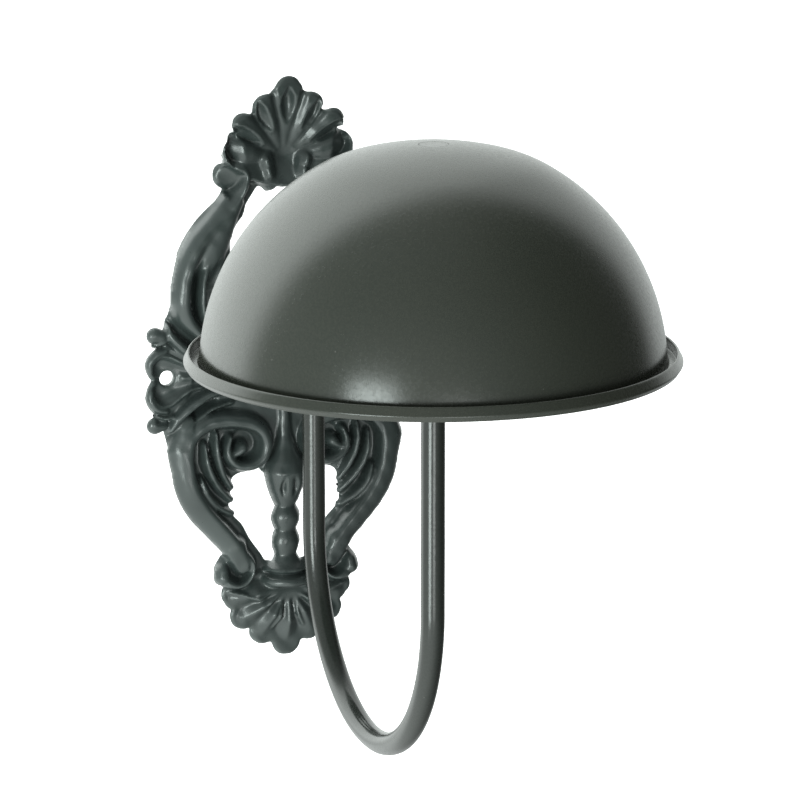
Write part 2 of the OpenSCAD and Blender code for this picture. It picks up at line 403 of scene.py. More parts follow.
def rod_mesh():
    """The bar with its thread, its rounded ends and the tapped hole in its top."""
    path = rod_path()
    step = np.diff(path, axis=0)
    along = np.concatenate([[0], np.cumsum(np.hypot(step[:, 0], step[:, 1]))])
    tangent = np.gradient(path, axis=0)
    tangent /= np.linalg.norm(tangent, axis=1)[:, None]
    normal = np.stack([-tangent[:, 1], tangent[:, 0]], axis=1)
    turn = np.linspace(0, 2 * math.pi, ROD_SIDES, endpoint=False)
    points, rings = [], []

    def ring(centre, across, radius):
        rings.append(len(points))
        y = centre[0] + across[0] * radius * np.cos(turn)
        z = centre[1] + across[1] * radius * np.cos(turn)
        points.extend(np.stack([radius * np.sin(turn), y, z], axis=1))

    for radius, inset in WALL_END:
        ring(path[0] + tangent[0] * inset, normal[0], np.full(ROD_SIDES, radius))
    for centre, across, s in zip(path[1:], normal[1:], along[1:]):
        phase = (s / PITCH - turn / (2 * math.pi)) % 1.0
        run_out = np.clip((THREAD_TO - ROD_BACK - s) / 0.8, 0, 1)
        depth = THREAD_DEPTH * run_out * np.clip(s / 0.5, 0.3, 1)
        thread = ROD_R - depth * np.clip(1.6 * np.abs(2 * phase - 1) - 0.3, 0, 1)
        waver = 0.03 * np.sin(s * 0.09) + 0.02 * np.sin(s * 0.23 + 1)
        ring(centre, across, np.minimum(thread, ROD_R) - 0.03 + waver * 0.5)
    for radius, rise in CROWN_END:
        ring(path[-1] + tangent[-1] * rise, normal[-1], np.full(ROD_SIDES, radius))
    faces = []
    for a, b in zip(rings, rings[1:]):
        for k in range(ROD_SIDES):
            m = (k + 1) % ROD_SIDES
            faces.append((a + k, b + k, b + m, a + m))
    for end in (rings[0], rings[-1]):
        faces.append(tuple(range(end, end + ROD_SIDES)))
    return points, faces


rod_points, rod_faces = rod_mesh()
add_piece("bent_rod_arm", rod_points, rod_faces, ARM, "bracket", "rod_arm", 50)


# ---------------------------------------------------------------- scrollwork casting
# The casting is worked as a height above the wall over a fine grid. It is mirror-symmetric, so strokes
# are drawn on one side only, as centre lines with half-widths and top heights, in millimetres.

GRID = 0.42
HALF_W = 54.6
LOW_Z, HIGH_Z = -110.46, 111.3
WEB = 3.4              # height of the plain metal between the ridges
FAR = 99.0
SPLINE_STEPS = 7       # points from one point of a curve to the next
BOSS_R = 13.0
BOSS_FLAT_R = 10.2     # level face of the boss
BOSS_ROUND = 2.8       # its rounded shoulder
BOSS_SIDE_H = 9.0      # height at the foot of the shoulder
BOSS_RISE = 4.95
ARM_HOLE_R = 4.3
SCREW_X = 43.5
SCREW_HOLE_R = 2.75
SEAT_R = 4.0           # level part of the screw's seat
SEAT_EDGE_R = 5.4
SEAT_H = 2.9
TENT = 0               # sections of a ridge: sharp, nearly flat on top, and round
FLAT = 0.14
ROUND = 0.5
LIP_AT = 1.05          # raised lip beside a groove, as a share of the groove's half-width
LIP_WIDTH = 0.42
SHARP = 0.05           # blend of a drilled hole's edge

xs = np.arange(-round(HALF_W / GRID), round(HALF_W / GRID) + 1) * GRID
zs = np.arange(LOW_Z, HIGH_Z, GRID)
side_x = xs[xs >= -1e-9]
GX, GZ = np.meshgrid(side_x, zs)


def spline(points, closed=False):
    """Catmull-Rom curve through the points."""
    p = np.asarray(points, float)
    if len(p) == 1:
        return p
    if closed:
        p = np.concatenate([p[-1:], p, p[:2]])
    else:
        p = np.concatenate([[2 * p[0] - p[1]], p, [2 * p[-1] - p[-2]]])
    out = []
    for a, b, c, d in zip(p, p[1:], p[2:], p[3:]):
        t = np.linspace(0, 1, SPLINE_STEPS, endpoint=False)[:, None]
        square = 2 * a - 5 * b + 4 * c - d
        cube = 3 * b - a - 3 * c + d
        out.append(0.5 * (2 * b + (c - a) * t + square * t ** 2 + cube * t ** 3))
    out = np.concatenate(out)
    return out if closed else np.concatenate([out, p[-2:-1]])


def stroke_field(points, margin):
    """The part of the grid near a curve, with each point's distance from the curve,
    the share of the curve's length there, and the side it lies on (1 left, -1 right)."""
    curve = spline(points)
    lo, hi = curve.min(axis=0) - margin, curve.max(axis=0) + margin
    i0, i1 = np.searchsorted(zs, [lo[1], hi[1]])
    j0, j1 = np.searchsorted(side_x, [lo[0], hi[0]])
    window = (slice(i0, i1), slice(j0, j1))
    px, pz = GX[window], GZ[window]
    best = np.full(px.shape, FAR)
    share = np.zeros(px.shape)
    side = np.zeros(px.shape)
    if len(curve) == 1:
        return window, np.hypot(px - curve[0, 0], pz - curve[0, 1]), share, side
    length = np.hypot(*np.diff(curve, axis=0).T)
    total, done = length.sum(), 0.0
    for a, b, size in zip(curve, curve[1:], length):
        d = b - a
        t = np.clip(((px - a[0]) * d[0] + (pz - a[1]) * d[1]) / max(size * size, 1e-9), 0, 1)
        dist = np.hypot(px - a[0] - t * d[0], pz - a[1] - t * d[1])
        near = dist < best
        best = np.where(near, dist, best)
        share = np.where(near, (done + t * size) / total, share)
        side = np.where(near, np.sign(d[0] * (pz - a[1]) - d[1] * (px - a[0])), side)
        done += size
    return window, best, share, side


def along_share(values, share):
    """A value, or values spread evenly along a curve, at each share of its length."""
    values = np.atleast_1d(np.asarray(values, float))
    if len(values) == 1:
        return np.full(share.shape, values[0])
    return np.interp(share, np.linspace(0, 1, len(values)), values)


def soft_max(a, b, k):
    """The larger of two fields, with the crease between them rounded over k."""
    h = np.clip(0.5 + 0.5 * (a - b) / k, 0, 1)
    return b * (1 - h) + a * h + k * h * (1 - h)


def soft_min(a, b, k):
    return -soft_max(-a, -b, k)


# the relief's height above the wall, and the signed distance from its outline, negative in the metal
height = np.zeros(GX.shape)
outline = np.full(GX.shape, FAR)


def rib(points, width, top, shape=ROUND, blend=0.7, edge=0.8, foot=WEB, outer=None):
    """Raises a ridge along a curve, with its half-width and height, one number or several along it.
    shape is its section, up to 1 for a parabola. foot is its height at the sides.
    blend and edge round its joins with the relief and with the outline.
    outer is the half-width on the left of the curve's direction, where that side is wider."""
    global height, outline
    margin = float(max(np.max(width), np.max(outer if outer is not None else 0))) + 4
    window, dist, share, side = stroke_field(points, margin)
    w = along_share(width, share)
    if outer is not None:
        w = np.where(side > 0, along_share(outer, share), w)
    t = along_share(top, share)
    base = along_share(foot, share)
    if shape == TENT:
        rise = np.clip(1 - dist / w, 0, None)
    else:
        rise = np.clip(1 - (dist / w) ** 2, 0, None) ** shape
    crest = np.where(dist < w, base + (t - base) * rise, 0)
    height[window] = soft_max(height[window], crest, blend)
    outline[window] = soft_min(outline[window], dist - w, edge)


def carve(points, width, depth, shape, floor=1.6, lip=0.0, lean=0.0):
    """Sinks a groove or dish, not below the floor's height, with an optional raised lip at its sides.
    lean tips its bottom: at 1 it is deepest on the right of the curve's direction, level on the left."""
    window, dist, share, side = stroke_field(points, float(np.max(width)) + 3)
    w = along_share(width, share)
    d = along_share(depth, share)
    bowl = np.clip(1 - (dist / w) ** 2, 0, None) ** shape
    sink = d * bowl * (1 - lean * side * dist / w) / (1 + lean)
    rim = lip * np.exp(-((dist - w * LIP_AT) / LIP_WIDTH) ** 2)
    old = height[window]
    height[window] = np.maximum(old - sink, np.minimum(old, floor)) + rim * (old > 0.5)


def closed_field(points):
    """Signed distance from a closed curve, negative inside."""
    curve = spline(points, closed=True)
    nxt = np.roll(curve, -1, axis=0)
    best = np.full(GX.shape, FAR ** 2)
    inside = np.zeros(GX.shape, bool)
    for a, b in zip(curve, nxt):
        d = b - a
        t = np.clip(((GX - a[0]) * d[0] + (GZ - a[1]) * d[1]) / max(d @ d, 1e-9), 0, 1)
        best = np.minimum(best, (GX - a[0] - t * d[0]) ** 2 + (GZ - a[1] - t * d[1]) ** 2)
        if a[1] != b[1]:
            crosses = (a[1] > GZ) != (b[1] > GZ)
            inside ^= crosses & (GX < a[0] + (GZ - a[1]) / (b[1] - a[1]) * d[0])
    return np.where(inside, -1, 1) * np.sqrt(best)


def web(points, level, soft, rim=0.7):
    """Fills an area to a level, which is a number or a field.
    It falls to the share rim of that level at the edge, over the distance soft."""
    global height, outline
    field = closed_field(points)
    rise = np.sqrt(np.clip(1 - np.clip(1 + field / soft, 0, 1) ** 2, 0, 1))
    height = np.where(field < 0, np.maximum(height, level * (rim + (1 - rim) * rise)), height)
    outline = soft_min(outline, field, 0.5)


def hole(field, soft=0.6):
    """Opens the plate where the field is negative."""
    global outline
    outline = soft_max(outline, -field, soft)


def ray(hub, angle, distance):
    """A point at a distance from a shell's hub, at an angle from straight up, towards +x."""
    a = math.radians(angle)
    return (hub[0] + distance * math.sin(a), hub[1] + distance * math.cos(a))


# plain metal between the ridges, from the top shell to the bottom one
web(
    [
        (0, 61.5), (5, 64), (8.6, 67.4), (11.4, 64.2), (13.4, 61), (14.6, 57.2), (17.4, 53.4),
        (19.2, 49.5), (19.5, 44.8), (18.6, 38), (15, 32.2), (9, 28.4), (0, 27), (-12, 20), (-12, -34),
        (4.5, -34), (8, -37.2), (10.2, -35.3), (14.1, -36.6), (17.9, -37.4), (20, -39.5), (20.2, -43),
        (21, -46), (20.7, -50), (19, -53), (16, -56.3), (13.1, -61.9), (9, -67.8), (7.6, -70.1),
        (5.6, -70.5), (-8, -71), (-8, -84), (12, -84), (21, -78), (26.4, -75), (27, -71.5),
        (24.6, -67.6), (24.2, -65), (29, -59.3), (33.3, -54.7), (36, -52), (39.4, -46.4), (41.3, -40),
        (42.4, -34), (43.5, -28), (44.4, -22), (45.4, -18), (46.4, -8), (46.4, 8), (45.4, 16),
        (44.2, 20.4), (42.5, 25), (42.3, 31.8), (41.2, 38.4), (39.8, 44.3), (37.3, 49.4), (33.8, 54.5),
        (29.7, 58.9), (25.5, 62.6), (22.5, 66), (20, 74), (16, 84), (-10, 86), (-10, 62),
    ],
    WEB,
    soft=1.6,
)

# top shell: a dished fan of petals, with grooves between them, leaf-shaped flutes and two low stubs
CREST = (0, 77.5)
FOOT = (0, -79)
crest_far = np.hypot(GX - CREST[0], GZ - CREST[1])
dish = np.clip(crest_far / 21, 0, 1.1) ** 1.2
web(
    [
        (0, 107.2), (2.8, 106.5), (4.7, 104.3), (6.3, 101.7), (8.8, 101.4), (11.1, 100.1), (12.3, 97.4),
        (13, 94.7), (16.2, 94.3), (19.2, 92.9), (20.2, 89.9), (20.2, 86.9), (22, 86), (23.2, 83.8),
        (23.8, 81), (23.4, 77.6), (18, 74), (10, 69), (-8, 68), (-24, 84), (-20, 94), (-6, 102),
        (-4, 106.5),
    ],
    4.2 + 6.2 * dish,
    soft=1.0, rim=0.93,
)
for angle, reach in ((0, 25.7), (25.5, 21.4), (51, 21.6), (78, 20.6)):
    rib(
        [ray(CREST, angle, 5), ray(CREST, angle, 14), ray(CREST, angle, reach)],
        [1.2, 3.2, 4.0],
        [5.6, 9.4, 11.4],
        shape=0.7, blend=1.2, foot=[4.6, 8.0, 10],
    )
for angle, far in ((13.5, 24.8), (37, 21.8), (65, 22)):
    carve(
        [ray(CREST, angle, 9), ray(CREST, angle, 16), ray(CREST, angle, far)],
        [0.6, 1.3, 1.6],
        [0.1, 0.4, 1.5],
        shape=1.0,
    )
for angle, near, far, wide in ((27.6, 11.6, 24.6, 1.9), (56.6, 10.4, 24.8, 2.2)):
    middle = ray(CREST, angle + 1.5, (near + far) / 2)
    leaf = [ray(CREST, angle, near), middle, ray(CREST, angle, far)]
    carve(
        leaf,
        [0.3, 0.8 * wide, wide, 0.85 * wide, 0.3],
        [0.6, 2.2, 3.2, 4.0, 2.0],
        shape=0.2, lip=0.6, lean=0.7,
    )
carve([(0, 90.4), (0, 97), (0, 103.4)], [0.5, 1.9, 2.7, 2.3, 0.6], [0.3, 1.9, 2.9, 3.3, 0.8], shape=0.8)
carve(
    [(18.4, 78.2), (19.6, 81.8), (19.2, 85.6)],
    [2.6, 3.6, 2.6],
    [5.4, 7, 6],
    shape=0.15, floor=3.2, lean=1,
)
rib([(7.6, 77.6), (7.2, 75.8)], 3.2, 9.8, shape=TENT, blend=0.3, foot=6.2)
rib([(6.6, 73.6), (6.4, 71.8)], 2.9, 9.4, shape=TENT, blend=0.3, foot=6.2)
rib([(0, 64.6), (4.4, 66.4), (8.4, 69)], [1.8, 1.5, 1.2], [6.4, 5.8, 5], shape=0.7)

# bottom shell: the same fan the other way up, folded into sharp pleats
web(
    [
        (0, -106.1), (-3, -105.4), (-12, -100), (-22, -90), (-24, -80), (-10, -74), (12, -74),
        (21, -76.4), (24.2, -79.4), (24.2, -83.4), (20.9, -86.4), (21.4, -89.8), (20, -93.4),
        (16.4, -94.9), (12.9, -94.9), (12.5, -98.2), (10.6, -100.9), (8, -101.3), (5.8, -101.2),
        (4.6, -103.8), (2.6, -105.7),
    ],
    4.6,
    soft=1.0, rim=0.85,
)
for angle, reach, tip_h in ((0, 22.0, 4.4), (28, 19.6, 5.6), (54, 19.6, 6.2), (78, 19.2, 6.6)):
    tip = 180 - angle
    rib(
        [ray(FOOT, tip, 5), ray(FOOT, tip, 12), ray(FOOT, tip, reach)],
        [3.0, 4.7, 4.3 if angle == 0 else 4.8],
        [8.0, 9.6, tip_h],
        shape=TENT, blend=0.3, edge=0.5, foot=[4.4, 4.6, 3.6],
    )
rib([(0, -82.2), (6.4, -81.6)], 3.4, 8.2, shape=0.4, blend=0.6, foot=5)
rib(
    [ray(FOOT, 159, 7), ray(FOOT, 163, 12), ray(FOOT, 160, 17)],
    [1.2, 2.3, 1.0],
    [8.6, 10, 7.4],
    shape=TENT, blend=0.25,
)
rib(
    [ray(FOOT, 132, 5), ray(FOOT, 128, 10), ray(FOOT, 131, 14)],
    [1.6, 3.0, 1.2],
    [9, 10.6, 7.4],
    shape=TENT, blend=0.25,
)
rib(
    [(6, -80.6), (11.5, -83.2), (17, -81.4), (22, -80.4)],
    [1.2, 2.0, 1.6, 1.0],
    [9, 10.6, 9.4, 7],
    shape=TENT, blend=0.25,
)

# curl under the top shell: a spoon-shaped hollow whose rim rolls down into the upper arm
rib([(20.8, 72.2)], 5.1, 7.2, shape=0.3, foot=3.4)
rib(
    [(23.6, 75.6), (20.6, 76.8), (17, 75.8), (14.8, 72.6), (15, 69.3), (17, 65.6), (20, 61.6)],
    [0.7, 0.9, 1.2, 1.7, 2.2, 2.6, 2.8],
    [7.2, 8.6, 9.2, 9.4, 9.4, 9.2, 9.2],
    shape=0.6, blend=0.5,
)
carve(
    [(24.4, 72.4), (21.8, 70.2), (20.8, 66.8), (22, 61.6)],
    [4.8, 4.9, 4.2, 2.4],
    [2.4, 3.2, 3.0, 1.2],
    shape=0.6,
)

# upper arm: one broad band that parts into an outer and an inner ridge, with a hollow beside it
rib(
    [(17, 62.6), (20, 59.4), (24.2, 54), (27.4, 48.2), (28.6, 42), (28.4, 36)],
    [2.2, 4.4, 6.4, 7.2, 6.6, 5],
    [8, 9.2, 9.6, 9.2, 7.8, 6],
    shape=0.55, blend=1.6,
)
rib(
    [
        (21.0, 63.0), (23.4, 59.2), (27.6, 54.2), (31.6, 49.4), (34.6, 44.6), (36.5, 39.6),
        (37.6, 34.8), (38.0, 29.5), (37.2, 24), (34.8, 19), (30.4, 14.6), (24, 11.6),
    ],
    [1.4, 2.4, 3.2, 3.2, 3, 2.8, 2.7, 2.6, 2.6, 2.4, 2.4, 2.2],
    [6.6, 8.2, 9.4, 9.9, 10.3, 10.5, 10.4, 10.2, 9.6, 8.8, 8, 7],
    blend=1.6, outer=[2.4, 3.4, 3.9, 4.3, 4.5, 4.6, 4.7, 4.8, 4.4, 2.8, 2.2, 2.0],
)
rib(
    [(27.6, 44), (30.4, 37), (31.4, 29.6), (30.6, 22), (27.4, 17)],
    [0.8, 1.8, 2.2, 2.1, 1.4],
    [6, 8.6, 9.4, 8.6, 7],
    shape=0.6, blend=1.2,
)
carve(
    [(31.0, 45), (33.4, 37.8), (34.2, 30.4), (33.4, 23.8), (30, 18.6)],
    [0.6, 1.6, 1.9, 1.7, 0.9],
    [0.3, 1.7, 2.6, 2.4, 1.2],
    shape=1.2,
)
carve([(24, 42), (26.8, 34), (27, 26), (24, 19)], [1.4, 2.6, 2.8, 2.0], [0.8, 2.4, 2.6, 1.6], shape=0.7)

# flat strap wrapped over the foot of the arm, between two grooves
rib(
    [(43.4, 18.8), (42.8, 16.4), (40.6, 13.4), (37.6, 10.8), (33, 8.4), (26, 6.4)],
    [1.0, 1.7, 1.9, 1.8, 1.5, 1.2],
    [6.4, 7.8, 8.2, 8, 7.4, 7],
    shape=FLAT, blend=0.25,
)
carve(
    [(43.6, 21.8), (41.2, 17.4), (38, 14), (33.6, 10.9), (28, 8.8)],
    [0.6, 0.9, 1.1, 1.1, 0.8],
    [1, 2.2, 2.8, 2.6, 2],
    shape=0.9,
)

# side leaf: two dished lobes about the screw hole, with rolled outer edges and a knob at each end
web(
    [
        (50.4, 1), (51.8, 4.8), (50.6, 8.6), (48, 11), (43, 12), (38, 9), (34, 0), (37, -9), (43, -13),
        (48.4, -12.2), (50.4, -10), (51.8, -6), (50.4, -1.6), (49.2, 0),
    ],
    4.6,
    soft=1.0,
)
for up in (1, -1):
    drop = 0 if up > 0 else -1.0
    rib(
        [
            (44.6, 10.6 * up + drop), (48.2, 9.4 * up + drop), (50.4, 6.6 * up + drop * 0.6),
            (50.3, 3.6 * up), (49.2, 1.2 * up),
        ],
        [1.2, 1.6, 1.7, 1.4, 0.8],
        [6.2, 6.6, 6.6, 6, 4.8],
        blend=0.5,
    )
    carve(
        [(46.2, 4.4 * up + drop * 0.4), (41.5, 3.2 * up), (36, 2.4 * up)],
        [3.7, 2.9, 1.6],
        [2.2, 1.8, 0.8],
        shape=0.45,
    )
    rib(
        [
            (49.4, 3.2 * up), (49.2, 5.8 * up + drop * 0.4), (46.8, 8.2 * up + drop),
            (43.4, 8.4 * up + drop), (39.6, 6.4 * up + drop * 0.6), (35.6, 4.6 * up), (31, 3.8 * up),
        ],
        [0.4, 0.55, 0.6, 0.6, 0.6, 0.6, 0.6],
        [5.6, 6.4, 6.7, 6.7, 6.6, 6.4, 6.2],
        shape=0.9, blend=0.3,
    )
rib([(49, 0), (41, 0), (33, 0)], 0.5, [4.0, 4.4, 5], shape=0.9, blend=0.3, foot=2.8)
rib(
    [(44.6, 12.6), (40.4, 9.4), (35, 6.6), (29, 5.2)],
    [0.8, 1.0, 1.1, 1.0],
    [5, 5.8, 6.2, 6.2],
    shape=0.6, blend=0.4,
)
rib([(48.6, 16.3), (46.2, 15.7)], [3.0, 2.6], 6.6, shape=0.45, foot=4)
rib([(49.2, 12.4), (46, 13.2), (43.6, 14.4)], [0.5, 0.7, 0.5], [5.6, 6.6, 6.8], shape=0.8, blend=0.3)
rib([(48.7, -16.5), (46.2, -16.2)], [3.1, 2.6], 6.2, shape=0.45, foot=4)
carve([(47.2, -14.8), (44.8, -15.6)], [1.4, 1.2], [1.6, 1.2], shape=0.8)

# long strap and thin rib of the side leaf, running in towards the boss, with deep grooves between
rib([(48.4, -12.9), (45, -14), (42, -13.6)], [0.6, 0.8, 0.8], [5.6, 6.8, 7], shape=0.8, blend=0.3)
rib(
    [(43, -18.4), (40.8, -14.9), (37.2, -11.6), (33.2, -8.8), (28.4, -6.4), (22, -5.2)],
    [1.0, 1.7, 1.9, 1.7, 1.4, 1.2],
    [6.4, 7.8, 8.2, 8, 7.4, 7],
    shape=FLAT, blend=0.25,
)
carve(
    [(42.6, -22.4), (39.6, -17.4), (36, -14), (31.4, -10.8), (26, -8.6)],
    [0.6, 1.1, 1.3, 1.2, 0.9],
    [1, 2.4, 2.8, 2.6, 2],
    shape=0.9,
)
rib(
    [(42.6, -26), (39.6, -21.4), (36.2, -17.6), (32.4, -14.4), (27, -11.6), (20, -10)],
    [0.5, 0.7, 0.8, 0.8, 0.8, 0.8],
    [6.4, 7.4, 7.8, 7.8, 7.4, 7],
    shape=0.9, blend=0.3,
)

# lower C-scroll: a broad band, highest near its inner edge
rib(
    [
        (35.6, -19.4), (36.7, -25.5), (36.7, -33), (34.8, -40.6), (30.6, -48.2), (25.9, -54),
        (21.2, -59.6), (17.6, -64.6), (15.4, -69.6),
    ],
    [2.0, 2.2, 2.4, 2.4, 2.4, 2.4, 2.4, 2.2, 1.8],
    [8.4, 9.4, 9.7, 9.7, 9.6, 9.5, 9.4, 9.2, 8.6],
    shape=0.6, blend=0.6, foot=4.4, outer=[6, 7.8, 6.4, 6.8, 6.8, 6.6, 6.4, 6.0, 4.6],
)
# its inner end winds into a broad round volute, deep in the middle, with a short tail reaching in
rib(
    [
        (37.2, -29), (36.2, -23.4), (33, -19), (28.2, -16.6), (21.9, -16.2), (15.2, -17.4),
        (10.0, -20.6), (8.0, -25.6), (9.2, -30.6), (13.4, -33.4), (18.4, -33.1), (21.7, -30.2),
        (22.4, -26.4), (21.2, -23),
    ],
    [2.0, 2.4, 2.8, 3.2, 3.2, 3.1, 3.1, 3.1, 2.8, 2.4, 2.2, 2.1, 2.0, 1.4],
    [8.8, 8.8, 9, 9.2, 9.6, 9.8, 9.9, 9.9, 9.8, 9.6, 9.4, 9.2, 8.8, 7.6],
    shape=0.35, blend=0.8,
)
carve([(15.6, -25.6)], 5.3, 6.0, shape=0.3, floor=2.4)
rib([(20.8, -29), (18.8, -28.2), (17, -26.8)], [1.6, 2.4, 2.7], [8.4, 8.8, 9.2], blend=0.5, foot=2.6)
# three strands fan out of the band and end as low teeth on the opening
for strand in (
    [(26.5, -20.6), (26.7, -26), (25.6, -31.6), (23.4, -37), (20.6, -41.6)],
    [(30.9, -24.6), (30.3, -31), (28.2, -36.6), (25, -41.6), (20.8, -46.2)],
):
    rib(
        strand,
        [0.8, 1.4, 1.5, 1.5, 1.2],
        [7.6, 8.9, 8.6, 7.2, 5.2],
        shape=TENT, blend=0.3, foot=[6.8, 7.8, 7.4, 6, 4],
    )
rib(
    [(32.4, -37), (30.3, -43), (26.9, -47.3), (23, -50.2), (20.4, -51.4)],
    [0.8, 1.4, 1.5, 1.4, 1.2],
    [7.6, 8.7, 8.2, 6.6, 5],
    shape=TENT, blend=0.3, foot=[6.8, 7.6, 7, 5.6, 3.8],
)

# curl at the bottom of the scroll: a spoon end, a crescent hollow and a rolled rim
rib([(21, -72.4)], 4.6, 5.6, shape=0.3, foot=4.6)
rib(
    [(19.8, -64), (18, -68.6), (17.2, -71.6)],
    [4.6, 4.2, 3.2],
    [9.2, 8.6, 7.2],
    shape=0.3, blend=0.8, foot=4,
)
rib(
    [(15.4, -66.4), (13.5, -69.8), (13.5, -73.4), (15.6, -76.8), (18.8, -78), (22.4, -77)],
    [1.4, 1.5, 1.3, 1.2, 1.5, 2.2],
    [8.2, 8.8, 8.8, 8.6, 8.4, 8],
)
rib([(24.2, -72.4), (24.4, -74.6)], [2.8, 3.2], [7.6, 8.2], blend=1.2)
carve(
    [(22.2, -69.8), (20.6, -73.4), (17.4, -75.2), (15, -73.8)],
    [0.8, 1.5, 1.5, 0.7],
    [1.0, 2.2, 2.4, 1.0],
    shape=0.8,
)

# hidden upper volutes and the leaf under the boss
VOLUTE = (17, 24)
volute = []
for turn in np.linspace(0, 1, 15):
    reach, angle = 9.5 - 6.2 * turn, 4.6 - 7.6 * turn
    volute.append((VOLUTE[0] + reach * math.cos(angle), VOLUTE[1] + reach * math.sin(angle)))
rib(volute, [1.6, 2.3, 2.2, 1.9, 1.7], [7.6, 8.6, 8.8, 9, 9.4], blend=0.5)
rib([VOLUTE], 1.9, 9.6, blend=0.5)
for angle in (118, 140, 162):
    rib(
        [ray((0, ARM_Z), angle, BOSS_R), ray((0, ARM_Z), angle, 19)],
        [2.0, 1.2],
        [8, 6],
        shape=0.6, blend=0.6,
    )

# opening between the two arms
hole(closed_field([
    (0, 66.6), (4.4, 66.2), (8.2, 63.6), (11.4, 60.8), (13, 57.2), (15.6, 53.6), (17.6, 49.5),
    (17.9, 44.8), (17, 38.6), (13.8, 33.4), (8.4, 29.8), (0, 28.4), (-12, 34), (-12, 62),
]))

# baluster between the scrolls: radius by height, turned about an axis close to the wall
BALUSTER = (
    # vase, from the boss down
    (-12, 2.4), (-17, 2.2), (-24, 2.8), (-29, 4.4), (-33, 6.8), (-37, 8.2), (-40.5, 7.6), (-44, 6.6),
    (-47.5, 5.2), (-50, 4.0),
    # two beads
    (-51.2, 4.6), (-52.6, 5.3), (-54.2, 5.6), (-56, 5.3), (-57.6, 4.7), (-58.8, 4.1),
    (-60, 4.6), (-61.6, 5.2), (-63.4, 5.4), (-65.4, 5.1), (-67, 4.5), (-68.2, 4.2),
    # collar of two rings
    (-70.4, 5.4), (-72, 7.2), (-72.8, 8.6), (-73.6, 8.8), (-74.1, 6.6), (-75.2, 6.6),
    (-75.6, 9.0), (-76.8, 9.9), (-78.2, 9.8), (-79.2, 8.4),
)
BALUSTER_AXIS = 2.8
levels, radii = np.array(BALUSTER[::-1]).T
girth = np.interp(GZ, levels, radii, left=0, right=0)
column = np.where(GX < girth, BALUSTER_AXIS + np.sqrt(np.clip(girth ** 2 - GX ** 2, 0, None)), 0)
joined = np.where(GX < 0.85 * girth, column, soft_max(height, column, 0.8))
height = np.where(column > 0, joined, height)
outline = np.minimum(outline, np.where(girth > 0, GX - girth, FAR))
carve([(1.6, -38), (2.3, -41.6), (1.8, -46)], [0.4, 0.9, 1.0, 0.5], [0.3, 1.9, 1.9, 0.3], shape=1.0)

# boss for the arm, with a rounded shoulder, and its hole
boss = np.hypot(GX, GZ - ARM_Z)
round_off = np.sqrt(np.clip(1 - np.clip((boss - BOSS_FLAT_R) / BOSS_ROUND, 0, 1) ** 2, 0, 1))
height = np.where(boss < BOSS_R, np.maximum(height, BOSS_SIDE_H + BOSS_RISE * round_off), height)
outline = np.minimum(outline, boss - BOSS_R)
hole(boss - ARM_HOLE_R, SHARP)

# screw hole of the side leaf, in a level seat
screw = np.hypot(GX - SCREW_X, GZ)
seat = SEAT_H + np.clip(screw - SEAT_R, 0, 2) * 1.5
height = np.where(screw < SEAT_EDGE_R, np.minimum(height, seat), height)
hole(screw - SCREW_HOLE_R, SHARP)


def blurred(field, weight, passes):
    """Softens a field a little, as paint and the sand mould do, counting only the metal."""
    for _ in range(passes):
        for axis in (0, 1):
            total = 2 * field * weight
            count = 2 * weight
            for shift in (-1, 1):
                total = total + np.roll(field * weight, shift, axis)
                count = count + np.roll(weight, shift, axis)
            field = total / np.maximum(count, 1e-9)
    return field


def mirrored(field):
    """The whole plate's field from the field of its right half."""
    return np.concatenate([field[:, :0:-1], field], axis=1)


def grown(field, known, steps):
    """Carries a field outwards past the edge of the metal."""
    for _ in range(steps):
        total, count = 0.0 * field, 0.0 * field
        for axis in (0, 1):
            for shift in (-1, 1):
                total = total + np.roll(field * known, shift, axis)
                count = count + np.roll(known, shift, axis)
        field = np.where(known > 0, field, total / np.maximum(count, 1e-9))
        known = np.maximum(known, (count > 0).astype(float))
    return field, known


THIN = 1.4             # lower than this there is no metal, only leftovers at the edge of a stroke
LEAST = 1.5            # least height of the metal
EDGE_ROUND = 0.9       # width of the rounding along the outline
EDGE_DROP = 0.8        # and the most that it takes off the height

full_h, full_o = mirrored(height), mirrored(outline)
solid = ((full_o < 0) & (full_h > THIN)).astype(float)
full_h, metal = grown(full_h, solid, 4)
full_h = blurred(np.maximum(full_h, LEAST), metal, 2)
drop = np.clip(1 + full_o / EDGE_ROUND, 0, 1)
full_h = full_h - np.minimum(EDGE_DROP, 0.3 * full_h) * (1 - np.sqrt(1 - drop ** 2 * 0.999))
# the unevenness of a sand mould
WX, WZ = np.meshgrid(xs, zs)
full_h += 0.10 * np.sin(WX * 0.31 + 1.3) * np.sin(WZ * 0.23 + 0.4) + 0.06 * np.sin(WX * 0.9 + WZ * 0.7)

DRAFT = 1.9            # how far the sides of the casting lean in towards its back
DRAFT_WIDTH = 4.5      # and how far from the outline that is felt
SHELL_WALL = 2.6       # metal in front of the hollow behind a shell
POCKET_R = 9.5         # pocket for the rear nut
POCKET_DEPTH = 9.0
BOSS_UPRIGHT_R = 16    # no draft within these radii of the two kinds of hole
SCREW_UPRIGHT_R = 5.5


def sampled(field, px, pz):
    """A grid field's values at points that lie between the grid's."""
    i = np.clip((pz - zs[0]) / GRID, 0, len(zs) - 1.001)
    j = np.clip((px - xs[0]) / GRID, 0, len(xs) - 1.001)
    i0, j0 = i.astype(int), j.astype(int)
    fi, fj = i - i0, j - j0
    return ((field[i0, j0] * (1 - fi) + field[i0 + 1, j0] * fi) * (1 - fj)
            + (field[i0, j0 + 1] * (1 - fi) + field[i0 + 1, j0 + 1] * fi) * fj)


